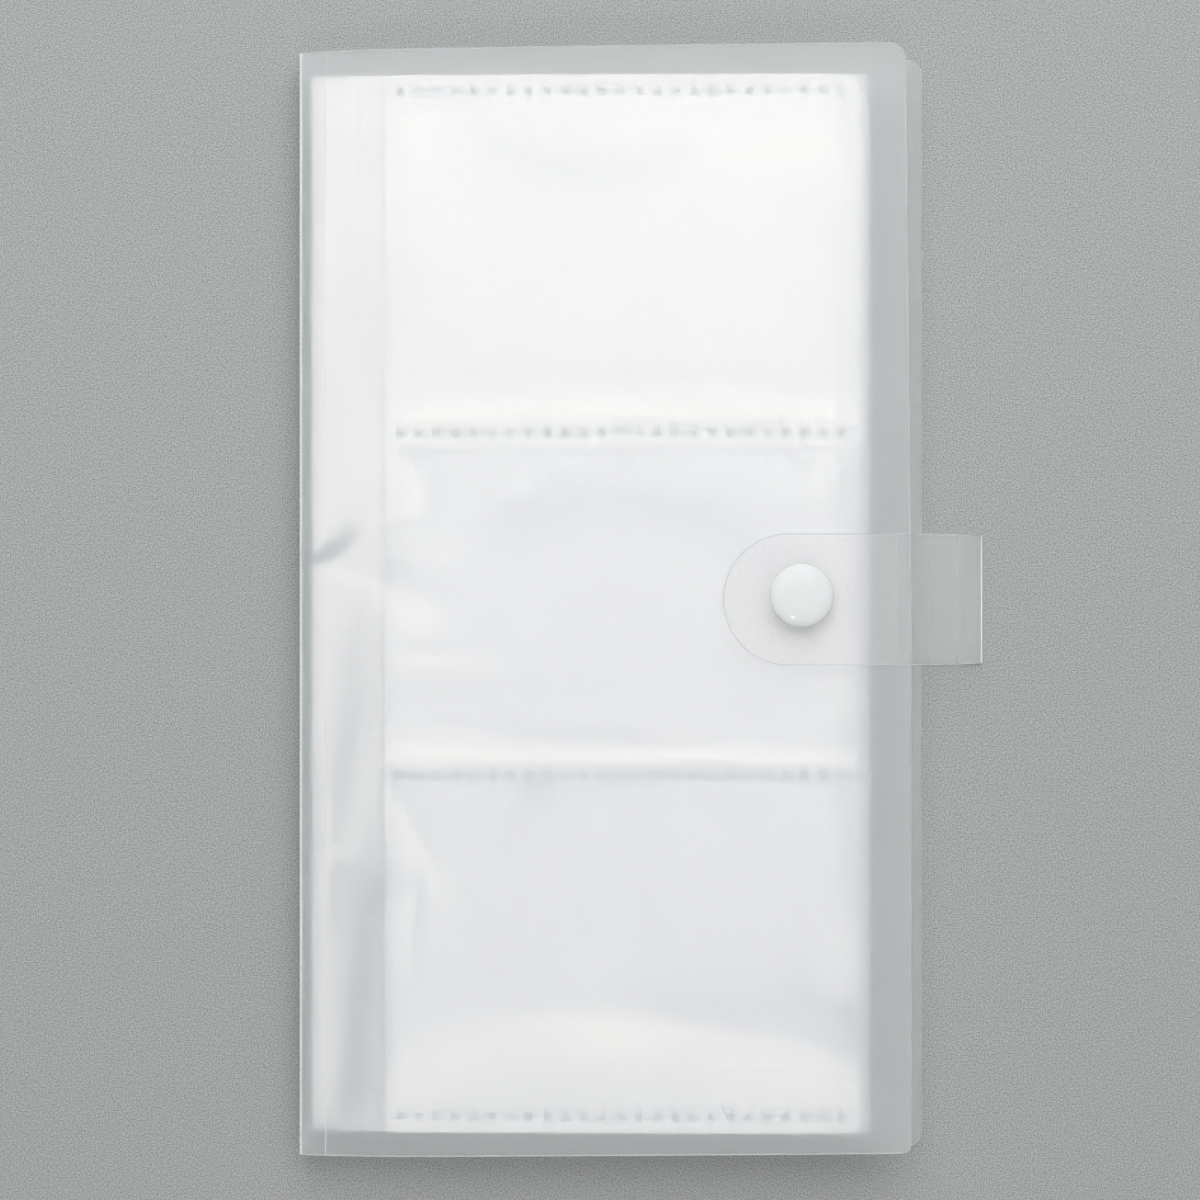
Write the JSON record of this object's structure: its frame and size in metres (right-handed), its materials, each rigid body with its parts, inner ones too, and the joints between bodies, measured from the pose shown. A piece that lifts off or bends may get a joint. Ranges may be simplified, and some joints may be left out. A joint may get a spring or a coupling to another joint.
{
  "type": "card file",
  "caption": "Flat folding case of frosted translucent plastic sheet with a snap strap, holding bound leaves of card pockets.",
  "frame": {"origin": "centre of the back panel's underside, on the table that the closed case lies on", "axes": "+X from the spine to the fore edge, +Y along the spine to the upper end, +Z out of the back panel to the front cover"},
  "size_m": [0.1279, 0.2061, 0.0178],
  "materials": {
    "case_sheet": "frosted translucent polypropylene sheet",
    "leaf_sheet": "translucent white polypropylene sheet",
    "pocket_film": "clear soft polypropylene film",
    "snap_plastic": "glossy moulded white acetal",
    "binding_plastic": "welded polypropylene strip"
  },
  "bodies": {
    "back_panel": {"back_cover": "case_sheet"},
    "spine_panel": {"spine": "case_sheet", "binding_strip": "binding_plastic"},
    "hinge_strip": {"hinge_strip": "case_sheet"},
    "front_panel": {"front_cover": "case_sheet", "snap_stud": "snap_plastic", "snap_post": "snap_plastic"},
    "strap_riser": {"strap_riser": "case_sheet"},
    "strap_bridge": {"strap_bridge": "case_sheet"},
    "strap_tongue": {"strap_tongue": "case_sheet", "snap_cap": "snap_plastic", "snap_socket": "snap_plastic"},
    "leaf_01": {"leaf_01_sheet": "leaf_sheet", "leaf_01_welds": "leaf_sheet", "leaf_01_front_film": "pocket_film", "leaf_01_back_film": "pocket_film"},
    "leaf_02": {"leaf_02_sheet": "leaf_sheet", "leaf_02_welds": "leaf_sheet", "leaf_02_front_film": "pocket_film", "leaf_02_back_film": "pocket_film"},
    "leaf_03": {"leaf_03_sheet": "leaf_sheet", "leaf_03_welds": "leaf_sheet", "leaf_03_front_film": "pocket_film", "leaf_03_back_film": "pocket_film"},
    "leaf_04": {"leaf_04_sheet": "leaf_sheet", "leaf_04_welds": "leaf_sheet", "leaf_04_front_film": "pocket_film", "leaf_04_back_film": "pocket_film"},
    "leaf_05": {"leaf_05_sheet": "leaf_sheet", "leaf_05_welds": "leaf_sheet", "leaf_05_front_film": "pocket_film", "leaf_05_back_film": "pocket_film"},
    "leaf_06": {"leaf_06_sheet": "leaf_sheet", "leaf_06_welds": "leaf_sheet", "leaf_06_front_film": "pocket_film", "leaf_06_back_film": "pocket_film"},
    "leaf_07": {"leaf_07_sheet": "leaf_sheet", "leaf_07_welds": "leaf_sheet", "leaf_07_front_film": "pocket_film", "leaf_07_back_film": "pocket_film"},
    "leaf_08": {"leaf_08_sheet": "leaf_sheet", "leaf_08_welds": "leaf_sheet", "leaf_08_front_film": "pocket_film", "leaf_08_back_film": "pocket_film"},
    "leaf_09": {"leaf_09_sheet": "leaf_sheet", "leaf_09_welds": "leaf_sheet", "leaf_09_front_film": "pocket_film", "leaf_09_back_film": "pocket_film"},
    "leaf_10": {"leaf_10_sheet": "leaf_sheet", "leaf_10_welds": "leaf_sheet", "leaf_10_front_film": "pocket_film", "leaf_10_back_film": "pocket_film"}
  },
  "joints": [
    {"name": "spine_fold", "type": "hinge", "parent": "back_panel", "child": "spine_panel", "pos_m": [-0.058, 0, 0.00025], "axis": [0, -1, 0], "range_deg": [0, 90]},
    {"name": "cover_fold", "type": "hinge", "parent": "spine_panel", "child": "hinge_strip", "pos_m": [-0.058, 0, 0.00785], "axis": [0, -1, 0], "range_deg": [0, 66]},
    {"name": "score_fold", "type": "hinge", "parent": "hinge_strip", "child": "front_panel", "pos_m": [-0.05341, 0, 0.00925], "axis": [0, -1, 0], "range_deg": [0, 18.7]},
    {"name": "strap_fold", "type": "hinge", "parent": "back_panel", "child": "strap_riser", "pos_m": [0.0695, 0, 0.00025], "axis": [0, 1, 0], "range_deg": [0, 112.3]},
    {"name": "strap_upper_fold", "type": "hinge", "parent": "strap_riser", "child": "strap_bridge", "pos_m": [0.06374, 0, 0.01233], "axis": [0, 1, 0], "range_deg": [0, 53.5]},
    {"name": "strap_tip_fold", "type": "hinge", "parent": "strap_bridge", "child": "strap_tongue", "pos_m": [0.05265, 0, 0.01448], "axis": [0, 1, 0], "range_deg": [0, 7.8]},
    {"name": "leaf_01_turn", "type": "hinge", "parent": "spine_panel", "child": "leaf_01", "pos_m": [-0.05595, 0, 0.001], "axis": [0, -1, 0], "range_deg": [-82, 0]},
    {"name": "leaf_02_turn", "type": "hinge", "parent": "spine_panel", "child": "leaf_02", "pos_m": [-0.05595, 0, 0.0017], "axis": [0, -1, 0], "range_deg": [-78, 0]},
    {"name": "leaf_03_turn", "type": "hinge", "parent": "spine_panel", "child": "leaf_03", "pos_m": [-0.05595, 0, 0.0024], "axis": [0, -1, 0], "range_deg": [-75, 0]},
    {"name": "leaf_04_turn", "type": "hinge", "parent": "spine_panel", "child": "leaf_04", "pos_m": [-0.05595, 0, 0.0031], "axis": [0, -1, 0], "range_deg": [-72, 0]},
    {"name": "leaf_05_turn", "type": "hinge", "parent": "spine_panel", "child": "leaf_05", "pos_m": [-0.05595, 0, 0.0038], "axis": [0, -1, 0], "range_deg": [-69, 0]},
    {"name": "leaf_06_turn", "type": "hinge", "parent": "spine_panel", "child": "leaf_06", "pos_m": [-0.05595, 0, 0.0045], "axis": [0, -1, 0], "range_deg": [-66, 0]},
    {"name": "leaf_07_turn", "type": "hinge", "parent": "spine_panel", "child": "leaf_07", "pos_m": [-0.05595, 0, 0.0052], "axis": [0, -1, 0], "range_deg": [-63, 0]},
    {"name": "leaf_08_turn", "type": "hinge", "parent": "spine_panel", "child": "leaf_08", "pos_m": [-0.05595, 0, 0.0059], "axis": [0, -1, 0], "range_deg": [-60, 0]},
    {"name": "leaf_09_turn", "type": "hinge", "parent": "spine_panel", "child": "leaf_09", "pos_m": [-0.05595, 0, 0.0066], "axis": [0, -1, 0], "range_deg": [0, 70]},
    {"name": "leaf_10_turn", "type": "hinge", "parent": "spine_panel", "child": "leaf_10", "pos_m": [-0.05595, 0, 0.0073], "axis": [0, -1, 0], "range_deg": [0, 75]}
  ],
  "couplings": [
    {"joint": "cover_fold", "follows": "spine_fold", "ratio": 0.73333},
    {"joint": "score_fold", "follows": "spine_fold", "ratio": 0.20777},
    {"joint": "strap_fold", "follows": "spine_fold", "ratio": 1.2478},
    {"joint": "strap_upper_fold", "follows": "spine_fold", "ratio": 0.59444},
    {"joint": "strap_tip_fold", "follows": "spine_fold", "ratio": 0.08666},
    {"joint": "leaf_01_turn", "follows": "spine_fold", "ratio": -0.91111},
    {"joint": "leaf_02_turn", "follows": "spine_fold", "ratio": -0.86666},
    {"joint": "leaf_03_turn", "follows": "spine_fold", "ratio": -0.83333},
    {"joint": "leaf_04_turn", "follows": "spine_fold", "ratio": -0.8},
    {"joint": "leaf_05_turn", "follows": "spine_fold", "ratio": -0.76666},
    {"joint": "leaf_06_turn", "follows": "spine_fold", "ratio": -0.73333},
    {"joint": "leaf_07_turn", "follows": "spine_fold", "ratio": -0.7},
    {"joint": "leaf_08_turn", "follows": "spine_fold", "ratio": -0.66666},
    {"joint": "leaf_09_turn", "follows": "spine_fold", "ratio": 0.77777},
    {"joint": "leaf_10_turn", "follows": "spine_fold", "ratio": 0.83333}
  ]
}
